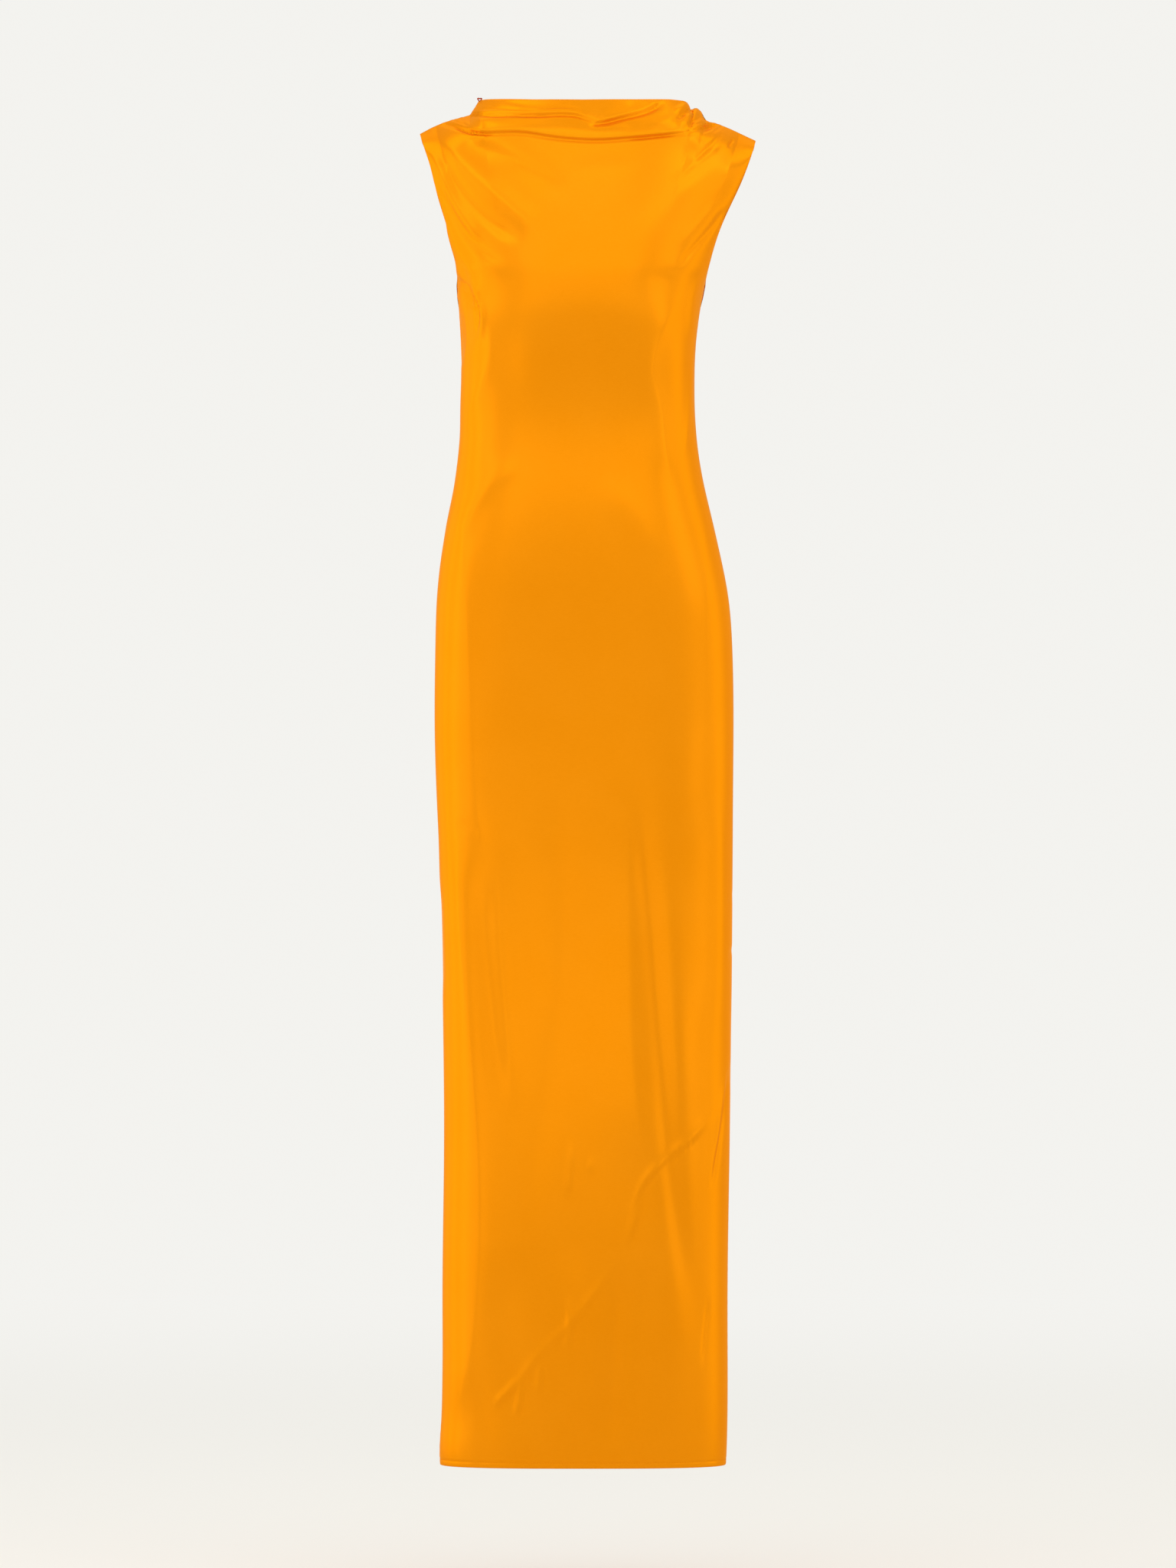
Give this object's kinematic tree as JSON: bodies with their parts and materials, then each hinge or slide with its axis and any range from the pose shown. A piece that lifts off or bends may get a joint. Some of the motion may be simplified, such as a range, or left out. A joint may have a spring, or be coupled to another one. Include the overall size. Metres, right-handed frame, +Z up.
{
  "type": "evening gown",
  "caption": "Long hollow evening gown with a high draped neckline gathered into extended cap shoulders, fitted at the waist and falling straight to a plain hem, open at neck, armholes and hem.",
  "frame": {"origin": "midway between the two shoulder seams, where the gown is held up", "axes": "+Z up, the front faces -Y, +X to the right seen from the front"},
  "size_m": [0.3676, 0.2365, 1.4921],
  "materials": {
    "satin": "satin weave, soft sheen"
  },
  "bodies": {
    "root": {"front_panel": "satin", "back_panel": "satin"}
  },
  "joints": []
}
